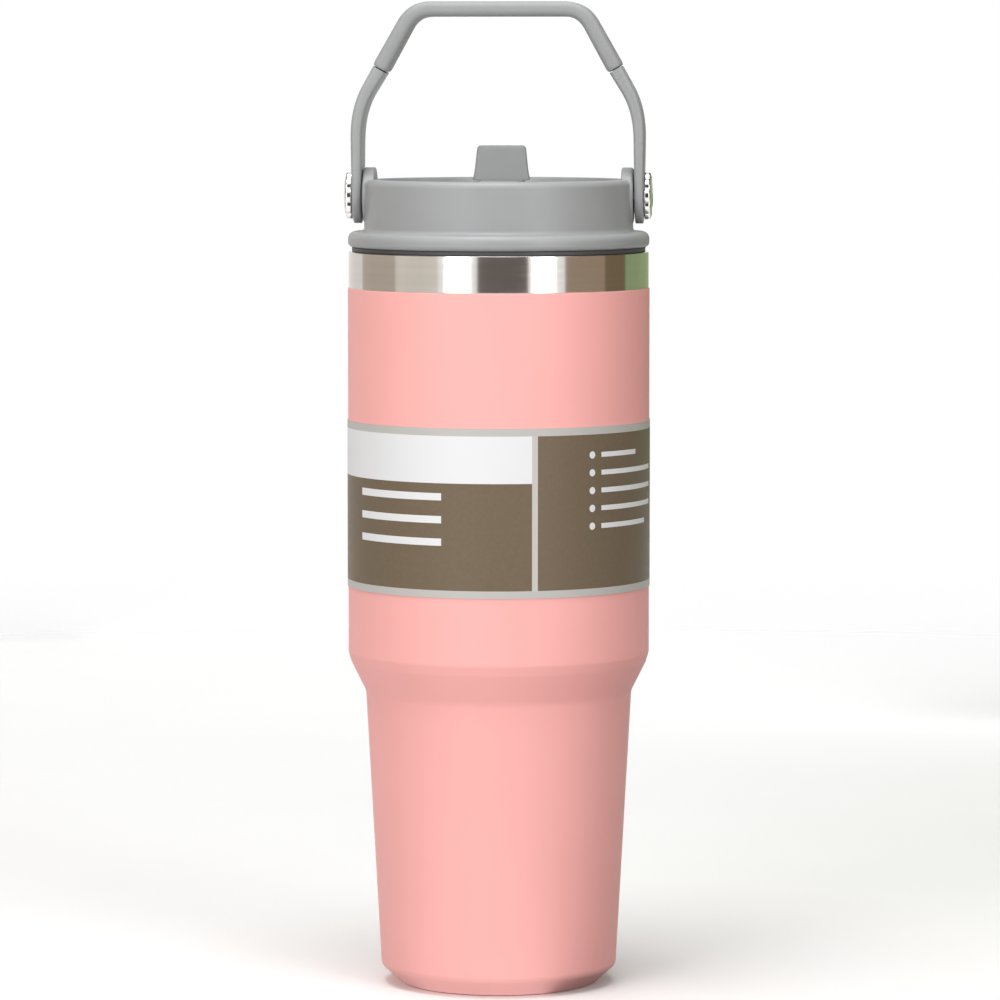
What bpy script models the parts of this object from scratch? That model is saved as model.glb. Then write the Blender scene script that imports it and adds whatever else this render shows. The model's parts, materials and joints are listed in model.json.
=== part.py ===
"""Insulated steel tumbler with a screw-on flip-spout lid and a swinging carry handle.

Run it with blender --background --python part.py, or from the text editor.
All dimensions are in millimetres, and each mesh is scaled to metres as its object is made.
The origin is the centre of the foot on the surface it stands on, +Z is up and the front is -Y.
"""
import math

import bmesh
import bpy
from mathutils import Matrix, Vector

MM = 0.001
WELD = 0.00001
GAP = 0.3
FULL_TURN = 2 * math.pi
ROUND = 40
SMALL_ROUND = 16
SHARP_ANGLE = math.radians(32)

# Vessel: the painted outline, from which every wall is offset inwards
BODY_R = 46.5
FOOT_CHAMFER = ((30.2, 0.2), (31.4, 0.9), (34.9, 4.0))
WALL_FOOT = (36.2, 6.2)
WALL_TOP = (41.05, 90.1)
SHOULDER = ((41.5, 92.3), (42.4, 94.1), (45.3, 98.9), (46.2, 100.8), (BODY_R, 103.3))
PAINT_TOP_Z = 215.5
COAT_T = 0.3
SHEET_T = 0.5
LINER_T = 0.5
LINER_INSET = 4.2
BAND_R = 46.3
RIM_TOP_Z = 226.7
LIP_T = 1.2
LIP_EDGE = 0.6
FOOT_R = 29.4
FOOT_HOLE_R = 26.5
FOOT_LIP = 0.4
FOOT_RING_Z = 3.2
LINER_FLOOR_Z = 9.3
LINER_BASE_OUTSIDE = ((27.0, LINER_FLOOR_Z - LINER_T), (31.0, 10.8), (32.9, 15.0))
LINER_BASE_INSIDE = ((32.2, 15.2), (30.5, 11.4), (26.8, LINER_FLOOR_Z))

# Base pan, its pump-out hole and solder seal, the cover disc and the getter
PAN_R = 25.4
PAN_Z = (2.2, 3.0)
PUMP_HOLE_R = 1.6
SEAL_HEAD_R = 2.6
SEAL_HEAD_Z = (1.6, 1.9)
COVER_R = 25.6
COVER_Z = (0.5, 1.1)
GETTER_R = 5.0
GETTER_X = 12.0
GETTER_Z = (3.3, 4.8)

# Label sleeve
LABEL_Z = (123.7, 175.0)
LABEL_T = 0.25

# Screw thread between liner and lid plug
THREAD_PITCH = 4.0
THREAD_Z = (212.0, 222.0)
THREAD_ROWS = 8
LINER_THREAD = -0.5
PLUG_THREAD = 0.8

# Lid
FLANGE_R = 46.4
FLANGE_Z = (228.1, 232.9)
FLANGE_EDGE = 0.9
FLANGE_TOP_EDGE = 1.2
LID_R = 41.4
LID_BORE_R = 39.2
DECK_Z = 241.5
DECK_T = 2.2
RIM_Z = 249.4
DISH = ((0.0, DECK_Z), (31.5, DECK_Z), (33.5, 242.3), (35.6, 245.5), (37.2, 248.4))
RIM = ((38.6, RIM_Z), (39.7, RIM_Z - 0.2), (40.9, RIM_Z - 1.3), (LID_R, RIM_Z - 3.2))
SHELL_CAVITY = ((LID_BORE_R, 244.5), (37.4, 245.2), (34.8, 241.2), (32.8, DECK_Z - DECK_T))
PLUG_R = 40.1
LEDGE_R = 45.2
PLUG_FLOOR_Z = 203.0
PLUG_FLOOR_T = 2.0
PLUG_WALL_R = 36.9
SPIGOT_TOP_Z = 233.5
GROOVE_R = 39.0
GROOVE_Z = (205.6, 210.0)
GROOVE_EDGE = 0.6
TUBE_R = 8.2
TUBE_BORE_R = 6.3
TUBE_TOP_Z = 236.7
PORT_R = 5.8
PORT_SEAL_R = 7.2
COLLAR_R = 7.6
COLLAR_T = 1.7
GASKET = ((39.5, 206.0), (40.6, 205.9), (41.0, 206.8), (40.5, 207.8), (41.0, 208.8), (40.6, 209.7),
          (39.5, 209.6))
VENT_XY = (15.0, 17.0)
VENT_HOLE_R = 2.3
VENT = ((0.0, 243.0), (2.6, 242.9), (3.4, 242.3), (3.4, 241.8), (2.0, 241.8), (2.0, 238.9), (3.0, 238.6),
        (2.2, 236.4), (0.0, 236.2))

# Handle pivots, on an axis along X
PIVOT_Z = 243.8
BOSS_R = 8.7
BOSS_X = (37.9, 41.6)
BORE_X = 38.6
INSERT_R = 3.2
INSERT_X = (38.9, 41.4)
SCREW_SHANK_R = 1.7
SCREW_SHOULDER_R = 3.2
SCREW_HEAD_R = 7.4
SCREW_TIP_X = 39.2
SCREW_HEAD_X = (45.1, 47.4)
SCREW_EDGE = 0.8
WASHER_R = 5.2
WASHER_X = (41.9, 42.5)

# Handle strap, as a centre line in the XZ plane
STRAP_X = 43.4
STRAP_T = 2.8
STRAP_DEPTH = 17.0
STRAP_BEND_Z = 270.2
STRAP_BEND_T = 3.7
STRAP_END_T = 4.4
BEND_REACH = 6.0
CORNER_REACH = 3.0
GRIP_END = (36.2, 282.5)
GRIP_CORNER = (25.9, 301.0)
GRIP_T = 5.0
GRIP_TOP_T = 4.6
CORE_T = 2.2
CORE_DEPTH = 12.0

# Spout, hinged along X and folded forwards into the dish, and the straw below its hinge
SPOUT_Y = 14.0
SPOUT_Z = 245.2
BARREL_R = 3.4
BARREL_HALF = 7.2
ARM_LENGTH = 28.0
ARM_TIP_HALF = 6.4
ARM_HALF_T = 3.1
NOZZLE_R = 2.7
NOZZLE_END = 35.0
CHANNEL_R = 2.0
MOUTH = ((28.3, 6.4, 3.1, 1.2), (34.3, 6.1, 3.1, 1.5), (37.0, 5.7, 3.0, 1.5), (38.0, 5.0, 2.7, 1.3))
TAB_NECK = 2.9
TAB_FACE = ((3.4, 8.9, 2.2, 0.1), (6.9, 8.4, 1.8, 0.6), (11.9, 7.5, 1.5, 1.0), (13.3, 7.2, 1.3, 1.1),
            (13.9, 6.5, 1.1, 1.2))
TAB_T = 2.2
PIN_R = 1.1
PIN_X = (4.5, 9.6)
EAR_X = (7.5, 9.8)
EAR_R = 2.6
STRAW_R = 4.0
STRAW_BORE_R = 2.7
STRAW_Z = (20.0, 214.0)


# ---------------------------------------------------------------- building tools

def clear_scene():
    for obj in list(bpy.data.objects):
        bpy.data.objects.remove(obj, do_unlink=True)


def material(name, color, roughness, metallic=0.0):
    mat = bpy.data.materials.new(name)
    mat.use_nodes = True
    shader = mat.node_tree.nodes["Principled BSDF"]
    shader.inputs["Base Color"].default_value = (*color, 1.0)
    shader.inputs["Roughness"].default_value = roughness
    shader.inputs["Metallic"].default_value = metallic
    return mat


def add(name, bm, mat=None, origin=(0.0, 0.0, 0.0)):
    """Turn a bmesh in millimetres into an object in metres whose origin is at `origin`."""
    bmesh.ops.remove_doubles(bm, verts=bm.verts, dist=WELD)
    bmesh.ops.recalc_face_normals(bm, faces=bm.faces)
    bm.transform(Matrix.Translation([-c for c in origin]))
    bm.transform(Matrix.Scale(MM, 4))
    mesh = bpy.data.meshes.new(name)
    bm.to_mesh(mesh)
    bm.free()
    mesh.shade_smooth()
    mesh.set_sharp_from_angle(angle=SHARP_ANGLE)
    obj = bpy.data.objects.new(name, mesh)
    obj.location = [c * MM for c in origin]
    bpy.context.scene.collection.objects.link(obj)
    if mat is not None:
        mesh.materials.append(mat)
    return obj


def boolean(obj, operation, bm):
    """Join a tool shape to an object, or cut it away, with an exact Boolean."""
    tool = add(f"{obj.name}_tool", bm)
    tool.hide_render = True
    tool.display_type = "WIRE"
    modifier = obj.modifiers.new(operation.title(), "BOOLEAN")
    modifier.operation = operation
    modifier.object = tool


def offset(points, distance):
    """Shift an open outline to its right-hand side, with mitred corners."""
    shifted = []
    for i, point in enumerate(points):
        here = Vector(point)
        before = here - Vector(points[i - 1]) if i > 0 else None
        after = Vector(points[i + 1]) - here if i + 1 < len(points) else None
        legs = [leg.normalized() for leg in (before, after) if leg is not None]
        tangent = sum(legs, Vector((0.0, 0.0))).normalized()
        normal = Vector((tangent.y, -tangent.x))
        shifted.append(tuple(here + normal * (distance / tangent.dot(legs[0]))))
    return shifted


def lathe(profile, segments=ROUND):
    """Spin (radius, height) points about Z. A profile that starts on the axis stays open there."""
    bm = bmesh.new()
    verts = [bm.verts.new((r, 0.0, z)) for r, z in profile]
    edges = [bm.edges.new(pair) for pair in zip(verts, verts[1:])]
    if profile[0][0] > 0.0:
        edges.append(bm.edges.new((verts[-1], verts[0])))
    bmesh.ops.spin(bm, geom=verts + edges, cent=(0, 0, 0), axis=(0, 0, 1), angle=FULL_TURN,
                   steps=segments, use_merge=True)
    bmesh.ops.remove_doubles(bm, verts=bm.verts, dist=WELD)
    return bm


def loft(rings):
    """Skin a row of point rings into a solid with flat ends."""
    bm = bmesh.new()
    rows = [[bm.verts.new(point) for point in ring] for ring in rings]
    for low, high in zip(rows, rows[1:]):
        for i in range(len(low)):
            j = (i + 1) % len(low)
            bm.faces.new((low[i], low[j], high[j], high[i]))
    bm.faces.new(reversed(rows[0]))
    bm.faces.new(rows[-1])
    return bm


def circle(radius, segments=SMALL_ROUND):
    angles = [FULL_TURN * i / segments for i in range(segments)]
    return [(radius * math.cos(a), radius * math.sin(a)) for a in angles]


def chamfered_box(half_a, half_b, chamfer):
    """The eight corners of a rectangle with cut corners."""
    a, b = half_a - chamfer, half_b - chamfer
    return [(half_a, -b), (half_a, b), (a, half_b), (-a, half_b),
            (-half_a, b), (-half_a, -b), (-a, -half_b), (a, -half_b)]


def rod_x(radius, x_from, x_to, y=0.0, z=0.0, segments=SMALL_ROUND):
    return loft([[(x, y + a, z + b) for a, b in circle(radius, segments)] for x in (x_from, x_to)])


def rod_z(radius, z_from, z_to, x=0.0, y=0.0):
    return loft([[(x + a, y + b, z) for a, b in circle(radius)] for z in (z_from, z_to)])


def turned_x(profile, side):
    """Spin (radius, x) points about the handle's pivot axis, on the side given by the sign."""
    bm = lathe([(r, x) for r, x in profile], SMALL_ROUND)
    bm.transform(Matrix.Translation((0, 0, PIVOT_Z)) @ Matrix.Rotation(side * math.pi / 2, 4, "Y"))
    return bm


def merge(*meshes):
    """Put separate shapes into one bmesh."""
    bm = bmesh.new()
    for part in meshes:
        mesh = bpy.data.meshes.new("part")
        part.to_mesh(mesh)
        part.free()
        bm.from_mesh(mesh)
        bpy.data.meshes.remove(mesh)
    return bm


def raise_thread(bm, radius, height):
    """Push the wall at `radius` in or out along a right-handed helix that fades at both ends."""
    low, high = THREAD_Z
    for vert in bm.verts:
        flat = Vector((vert.co.x, vert.co.y))
        if abs(flat.length - radius) > WELD or not low < vert.co.z < high:
            continue
        turn = math.atan2(flat.y, flat.x) / FULL_TURN
        wave = math.cos(FULL_TURN * (vert.co.z / THREAD_PITCH - turn))
        fade = min(1.0, (vert.co.z - low) / THREAD_PITCH, (high - vert.co.z) / THREAD_PITCH)
        flat *= 1.0 + height * fade * max(0.0, wave) / radius
        vert.co.xy = flat


def thread_rows(radius):
    low, high = THREAD_Z
    step = (high - low) / THREAD_ROWS
    return [(radius, low + step * i) for i in range(THREAD_ROWS + 1)]


# ---------------------------------------------------------------- vessel

def wall_outline():
    """The painted side from the tapered wall's foot to the paint's top edge."""
    return [WALL_FOOT, WALL_TOP, *SHOULDER, (BODY_R, PAINT_TOP_Z)]


def paint_outline():
    """The painted side with the chamfer above the foot."""
    return [*FOOT_CHAMFER, *wall_outline()]


def make_powder_coat(mat):
    outline = paint_outline()
    return add("powder_coat", lathe(outline + offset(outline, -COAT_T)[::-1]), mat)


def make_outer_shell(mat):
    outline = paint_outline()
    outside = offset(outline, -COAT_T - GAP)
    inside = offset(outline, -COAT_T - GAP - SHEET_T)
    inner_r = BAND_R - SHEET_T
    flare_z = PAINT_TOP_Z + 2 * GAP
    band = [(BAND_R, flare_z), (BAND_R, RIM_TOP_Z), (inner_r, RIM_TOP_Z), (inner_r, flare_z + GAP)]
    inner_foot_r = FOOT_HOLE_R - SHEET_T
    foot = [(FOOT_R - FOOT_LIP, SHEET_T), (FOOT_HOLE_R + FOOT_LIP, SHEET_T), (FOOT_HOLE_R, FOOT_RING_Z),
            (inner_foot_r, FOOT_RING_Z), (FOOT_HOLE_R - FOOT_LIP, 0.0)]
    return add("outer_shell", lathe([(FOOT_R, 0.0), *outside, *band, *inside[::-1], *foot]), mat)


def make_inner_liner(mat):
    outside = offset(wall_outline(), -LINER_INSET)[1:-1]
    inside = offset(wall_outline(), -LINER_INSET - LINER_T)[1:-1]
    outer_r = outside[-1][0]
    inner_r = inside[-1][0]
    lip_r = BAND_R - SHEET_T - GAP
    lip_low = RIM_TOP_Z - LIP_T
    lip = [(outer_r, lip_low - LIP_EDGE), (outer_r + LIP_EDGE, lip_low), (lip_r, lip_low),
           (lip_r, RIM_TOP_Z), (inner_r + LIP_EDGE, RIM_TOP_Z), (inner_r, RIM_TOP_Z - LIP_EDGE)]
    bm = lathe([(0.0, LINER_FLOOR_Z - LINER_T), *LINER_BASE_OUTSIDE, *outside, *lip,
                *thread_rows(inner_r)[::-1], *inside[::-1], *LINER_BASE_INSIDE, (0.0, LINER_FLOOR_Z)])
    raise_thread(bm, inner_r, LINER_THREAD)
    return add("inner_liner", bm, mat)


def make_base(steel, solder, pellet):
    """The welded base pan with its pump-out hole, the disc that hides it, seal and getter."""
    low, high = PAN_Z
    pan = [(PUMP_HOLE_R, low), (PAN_R, low), (PAN_R, high), (PUMP_HOLE_R, high)]
    add("base_pan", lathe(pan), steel)
    bottom, top = COVER_Z
    add("base_cover", lathe([(0.0, bottom), (COVER_R, bottom), (COVER_R, top), (0.0, top)]), steel)
    stem_r = PUMP_HOLE_R - GAP
    head_low, head_top = SEAL_HEAD_Z
    seal = [(0.0, head_low), (SEAL_HEAD_R, head_low), (SEAL_HEAD_R, head_top), (stem_r, head_top),
            (stem_r, high), (0.0, high)]
    add("vacuum_seal", lathe(seal, SMALL_ROUND), solder)
    add("getter_capsule", rod_z(GETTER_R, *GETTER_Z, x=GETTER_X), pellet)


def make_label(mat):
    inner_r = BODY_R + GAP
    outer_r = inner_r + LABEL_T
    low, high = LABEL_Z
    return add("label_sleeve", lathe([(inner_r, low), (outer_r, low), (outer_r, high), (inner_r, high)]), mat)


# ---------------------------------------------------------------- lid

def make_lid_shell(mat):
    low, high = FLANGE_Z
    under = DECK_Z - DECK_T
    edge_r = FLANGE_R - FLANGE_EDGE
    flange = [(LID_R, high + FLANGE_TOP_EDGE), (LID_R + FLANGE_EDGE, high), (edge_r, high),
              (FLANGE_R, high - FLANGE_TOP_EDGE), (FLANGE_R, low + FLANGE_EDGE), (edge_r, low),
              (LID_BORE_R, low)]
    shell = add("lid_shell", lathe([*DISH, *RIM, *flange, *SHELL_CAVITY, (0.0, under)]), mat)
    for side in (-1, 1):
        boss = rod_x(BOSS_R, side * BOSS_X[0], side * BOSS_X[1], z=PIVOT_Z, segments=ROUND)
        boolean(shell, "UNION", boss)
        boolean(shell, "UNION", spout_ear(side))
        boolean(shell, "DIFFERENCE", rod_x(INSERT_R + GAP, side * BORE_X, side * STRAP_X, z=PIVOT_Z))
    pin_bore = rod_x(PIN_R + GAP, -EAR_X[1] - 1.0, EAR_X[1] + 1.0, SPOUT_Y, SPOUT_Z)
    port = rod_z(PORT_R, under - 1.0, DECK_Z + 1.0, y=SPOUT_Y)
    vent = rod_z(VENT_HOLE_R, under - 1.0, DECK_Z + 1.0, *VENT_XY)
    boolean(shell, "DIFFERENCE", merge(pin_bore, port, vent))
    return shell


def spout_ear(side):
    """An upright lug with a round top that carries one of the spout's pins."""
    steps = 8
    arch = [math.pi * i / steps for i in range(steps + 1)]
    outline = [(SPOUT_Y + EAR_R * math.cos(a), SPOUT_Z + EAR_R * math.sin(a)) for a in arch]
    outline += [(SPOUT_Y - EAR_R, DECK_Z - 0.5), (SPOUT_Y + EAR_R, DECK_Z - 0.5)]
    return loft([[(side * x, y, z) for y, z in outline] for x in EAR_X])


def make_lid_plug(mat):
    """The threaded lower half of the lid, a cup with a rim ledge, a gasket groove and a straw tube."""
    floor = PLUG_FLOOR_Z
    spigot_r = LID_BORE_R - GAP
    groove_low, groove_high = GROOVE_Z
    ledge_top = FLANGE_Z[0] - GAP
    outside = [(spigot_r, SPIGOT_TOP_Z), (spigot_r, ledge_top), (LEDGE_R, ledge_top),
               (LEDGE_R, RIM_TOP_Z + GAP), (PLUG_R, RIM_TOP_Z + GAP),
               *thread_rows(PLUG_R)[::-1], (PLUG_R, groove_high + GROOVE_EDGE), (GROOVE_R, groove_high),
               (GROOVE_R, groove_low), (PLUG_R, groove_low - GROOVE_EDGE), (PLUG_R - GROOVE_EDGE, floor)]
    inner_floor = floor + PLUG_FLOOR_T
    inside = [(0.0, inner_floor), (PLUG_WALL_R, inner_floor), (PLUG_WALL_R, SPIGOT_TOP_Z)]
    bm = lathe([*inside, *outside, (0.0, floor)])
    raise_thread(bm, PLUG_R, PLUG_THREAD)
    plug = add("lid_plug", bm, mat)
    boolean(plug, "UNION", rod_z(TUBE_R, floor + PLUG_FLOOR_T / 2, TUBE_TOP_Z, y=SPOUT_Y))
    boolean(plug, "DIFFERENCE", rod_z(TUBE_BORE_R, floor - 1.0, TUBE_TOP_Z + 1.0, y=SPOUT_Y))
    return plug


def make_seals(silicone):
    add("lid_gasket", lathe(GASKET), silicone)
    seal_low, seal_step = TUBE_TOP_Z + GAP, DECK_Z - DECK_T - GAP
    neck_r = PORT_R - GAP
    seal = lathe([(CHANNEL_R, seal_low), (PORT_SEAL_R, seal_low), (PORT_SEAL_R, seal_step),
                  (neck_r, seal_step), (neck_r, DECK_Z), (CHANNEL_R, DECK_Z)], SMALL_ROUND)
    add("port_seal", shifted(seal, 0.0, SPOUT_Y), silicone)
    sleeve_r = STRAW_R + GAP
    shoulder_z = STRAW_Z[1] + GAP
    outer_r = TUBE_BORE_R - GAP
    collar_top = PLUG_FLOOR_Z - GAP
    collar_low = collar_top - COLLAR_T
    top = TUBE_TOP_Z - GAP
    coupler = lathe([(sleeve_r, collar_low), (COLLAR_R, collar_low), (COLLAR_R, collar_top),
                     (outer_r, collar_top), (outer_r, top), (CHANNEL_R, top), (CHANNEL_R, shoulder_z),
                     (sleeve_r, shoulder_z)], SMALL_ROUND)
    add("straw_coupler", shifted(coupler, 0.0, SPOUT_Y), silicone)
    add("vent_valve", shifted(lathe(VENT, SMALL_ROUND), *VENT_XY), silicone)


def shifted(bm, x, y):
    bm.transform(Matrix.Translation((x, y, 0.0)))
    return bm


def make_pivots(brass, steel, nylon):
    """On each side a threaded insert in the boss, a shoulder screw and a washer."""
    insert_bore = SCREW_SHANK_R + GAP
    washer_bore = SCREW_SHOULDER_R + GAP
    head_in, head_out = SCREW_HEAD_X
    inner, outer = INSERT_X
    insert = [(insert_bore, inner), (INSERT_R, inner), (INSERT_R, outer), (insert_bore, outer)]
    near, far = WASHER_X
    screw = [(0.0, SCREW_TIP_X), (SCREW_SHANK_R, SCREW_TIP_X), (SCREW_SHANK_R, near),
             (SCREW_SHOULDER_R, near), (SCREW_SHOULDER_R, head_in), (SCREW_HEAD_R, head_in),
             (SCREW_HEAD_R, head_out - SCREW_EDGE), (SCREW_HEAD_R - SCREW_EDGE, head_out), (0.0, head_out)]
    washer = [(washer_bore, near), (WASHER_R, near), (WASHER_R, far), (washer_bore, far)]
    for side, word in ((-1, "left"), (1, "right")):
        add(f"pivot_insert_{word}", turned_x(insert, side), brass)
        add(f"pivot_screw_{word}", turned_x(screw, side), steel)
        add(f"pivot_washer_{word}", turned_x(washer, side), nylon)


# ---------------------------------------------------------------- handle

def soften(stations, reach):
    """Replace each inner corner of a station list by a short curve that starts `reach` away."""
    result = [stations[0]]
    for before, corner, after in zip(stations, stations[1:], stations[2:]):
        ends = []
        for other in (before, after):
            leg = Vector(other[:2]) - Vector(corner[:2])
            ends.append(Vector(corner[:2]) + leg.normalized() * min(reach, leg.length / 2))
        for t in (0.0, 0.33, 0.67, 1.0):
            point = ends[0] * (1 - t) ** 2 + Vector(corner[:2]) * 2 * t * (1 - t) + ends[1] * t ** 2
            result.append((point.x, point.y, *corner[2:]))
    return [*result, stations[-1]]


def strap(stations, chamfer=0.8):
    """Sweep a chamfered box along (x, z, thickness, depth) stations in the XZ plane."""
    line = [station[:2] for station in stations]
    normals = [Vector(a) - Vector(b) for a, b in zip(offset(line, 1.0), line)]
    rings = []
    for (x, z, thickness, depth), normal in zip(stations, normals):
        corners = chamfered_box(thickness / 2, depth / 2, min(chamfer, depth / 4, thickness / 4))
        rings.append([(x + normal.x * a, b, z + normal.y * a) for a, b in corners])
    return loft(rings)


def mirrored(stations):
    """Continue a right-hand half of the stations over the top to the left."""
    return stations + [(-x, z, *rest) for x, z, *rest in reversed(stations)]


def eye_stations():
    """The strap's round lower end about the pivot, from its bottom up."""
    radius = STRAP_DEPTH / 2
    angles = [math.radians(a) for a in (6, 20, 40, 60, 90)]
    return [(STRAP_X, PIVOT_Z - radius * math.cos(a), STRAP_T, 2 * radius * math.sin(a)) for a in angles]


def make_handle(mat):
    origin = (0.0, 0.0, PIVOT_Z)
    core_path = [(*GRIP_END, CORE_T, CORE_DEPTH), (*GRIP_CORNER, CORE_T, CORE_DEPTH)]
    arm_path = [(STRAP_X, STRAP_BEND_Z - STRAP_DEPTH / 2, STRAP_T, STRAP_DEPTH),
                (STRAP_X, STRAP_BEND_Z, STRAP_BEND_T, STRAP_DEPTH), (*GRIP_END, STRAP_END_T, STRAP_DEPTH)]
    arm = eye_stations() + soften(arm_path, BEND_REACH)
    low = Vector((STRAP_X, STRAP_BEND_Z)).lerp(Vector(GRIP_END), 0.8)
    core = [(low.x, low.y, CORE_T, CORE_DEPTH)] + core_path
    handle = add("handle", strap(arm), mat, origin)
    boolean(handle, "UNION", strap(soften(mirrored(core), CORNER_REACH), 0.4))
    boolean(handle, "UNION", strap([(-x, z, *rest) for x, z, *rest in reversed(arm)]))
    for side in (-1, 1):
        bore = rod_x(SCREW_SHOULDER_R + GAP, side * LID_R, side * SCREW_HEAD_X[1], z=PIVOT_Z)
        pocket = rod_x(WASHER_R + GAP, side * LID_R, side * (WASHER_X[1] + GAP), z=PIVOT_Z)
        boolean(handle, "DIFFERENCE", bore)
        boolean(handle, "DIFFERENCE", pocket)
    return handle


def make_handle_grip(mat):
    """The soft sleeve over the handle's upper half, with a tunnel for the handle's core."""
    start = Vector(GRIP_END).lerp(Vector(GRIP_CORNER), 0.02)
    sleeve = [(start.x, start.y, GRIP_T, STRAP_DEPTH), (*GRIP_CORNER, GRIP_TOP_T, STRAP_DEPTH)]
    grip = add("handle_grip", strap(soften(mirrored(sleeve), CORNER_REACH), 1.2), mat, (0.0, 0.0, PIVOT_Z))
    tunnel_size = (CORE_T + 2 * GAP, CORE_DEPTH + 2 * GAP)
    below = Vector(GRIP_END).lerp(Vector(GRIP_CORNER), -0.3)
    tunnel = [(below.x, below.y, *tunnel_size), (*GRIP_CORNER, *tunnel_size)]
    boolean(grip, "DIFFERENCE", strap(soften(mirrored(tunnel), CORNER_REACH), 0.4))
    return grip


# ---------------------------------------------------------------- spout and straw

def forwards(sections):
    """Loft (distance from the hinge, half width, half thickness, chamfer) sections towards the front."""
    return loft([[(a, SPOUT_Y - reach, SPOUT_Z + b) for a, b in chamfered_box(width, height, chamfer)]
                 for reach, width, height, chamfer in sections])


def rod_forwards(radius, start, end):
    return loft([[(a, SPOUT_Y - y, SPOUT_Z + b) for a, b in circle(radius)] for y in (start, end)])


def finger_tab():
    """The upright tab over the hinge: a neck between the lugs, then a face that narrows to its top."""
    neck = [(height, BARREL_HALF - 0.1, TAB_T, 0.0) for height in (0.5, TAB_NECK)]
    return loft([[(a, SPOUT_Y + lean + b, SPOUT_Z + height) for a, b in chamfered_box(width, depth, 0.5)]
                 for height, width, depth, lean in (*neck, *TAB_FACE)])


def make_spout_arm(mat):
    barrel = rod_x(BARREL_R, -BARREL_HALF, BARREL_HALF, SPOUT_Y, SPOUT_Z)
    arm = add("spout_arm", barrel, mat, (0.0, SPOUT_Y, SPOUT_Z))
    boolean(arm, "UNION", forwards([(0.0, BARREL_HALF - 0.15, ARM_HALF_T, 1.0),
                                    (ARM_LENGTH, ARM_TIP_HALF, ARM_HALF_T, 1.0)]))
    boolean(arm, "UNION", finger_tab())
    boolean(arm, "UNION", rod_forwards(NOZZLE_R, ARM_LENGTH - 1.0, NOZZLE_END))
    boolean(arm, "DIFFERENCE", rod_forwards(CHANNEL_R, -BARREL_R - 1.0, NOZZLE_END + 1.0))
    for side in (-1, 1):
        inner_x, outer_x = side * (PIN_X[0] - GAP), side * (BARREL_HALF + 1.0)
        boolean(arm, "DIFFERENCE", rod_x(PIN_R + GAP, inner_x, outer_x, SPOUT_Y, SPOUT_Z))
    return arm


def make_mouthpiece(mat):
    """The soft tip pushed over the arm's nozzle."""
    start, end = MOUTH[0][0], MOUTH[-1][0]
    piece = add("mouthpiece", forwards(MOUTH), mat, (0.0, SPOUT_Y, SPOUT_Z))
    boolean(piece, "DIFFERENCE", rod_forwards(NOZZLE_R + GAP, start - 1.0, NOZZLE_END + GAP))
    boolean(piece, "DIFFERENCE", rod_forwards(CHANNEL_R, start, end + 1.0))
    return piece


def make_spout_pins(steel):
    for side, word in ((-1, "left"), (1, "right")):
        low, high = PIN_X
        add(f"spout_pin_{word}", rod_x(PIN_R, side * low, side * high, SPOUT_Y, SPOUT_Z), steel)


def make_straw(mat):
    low, high = STRAW_Z
    straw = lathe([(STRAW_BORE_R, low), (STRAW_R, low), (STRAW_R, high), (STRAW_BORE_R, high)], SMALL_ROUND)
    return add("straw", shifted(straw, 0.0, SPOUT_Y), mat, (0.0, SPOUT_Y, high))


# ---------------------------------------------------------------- assembly

def build():
    clear_scene()
    steel = material("brushed_steel", (0.62, 0.60, 0.57), 0.28, 1.0)
    coat = material("pink_powder_coat", (0.93, 0.45, 0.45), 0.55)
    paper = material("label_paper", (0.20, 0.16, 0.12), 0.60)
    grey = material("lid_plastic", (0.38, 0.38, 0.39), 0.45)
    dark_grey = material("plug_plastic", (0.07, 0.07, 0.072), 0.50)
    soft_grey = material("grip_plastic", (0.36, 0.36, 0.37), 0.60)
    silicone = material("silicone", (0.70, 0.70, 0.69), 0.60)
    clear = material("straw_plastic", (0.80, 0.80, 0.80), 0.30)
    brass = material("brass", (0.71, 0.55, 0.26), 0.35, 1.0)
    polished = material("polished_steel", (0.75, 0.75, 0.74), 0.12, 1.0)
    nylon = material("nylon", (0.80, 0.80, 0.77), 0.50)
    solder = material("solder", (0.45, 0.44, 0.42), 0.50, 1.0)
    pellet = material("getter_metal", (0.50, 0.47, 0.43), 0.60, 1.0)

    make_outer_shell(steel)
    make_powder_coat(coat)
    make_inner_liner(steel)
    make_base(steel, solder, pellet)
    make_label(paper)
    make_lid_shell(grey)
    make_lid_plug(dark_grey)
    make_seals(silicone)
    make_pivots(brass, polished, nylon)
    make_handle(grey)
    make_handle_grip(soft_grey)
    make_spout_arm(grey)
    make_mouthpiece(silicone)
    make_spout_pins(polished)
    make_straw(clear)


build()
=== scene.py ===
"""Looks for the insulated tumbler: fine surfaces, materials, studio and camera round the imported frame."""
import json
import math

import bmesh
import bpy
from mathutils import Matrix, Vector


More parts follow.
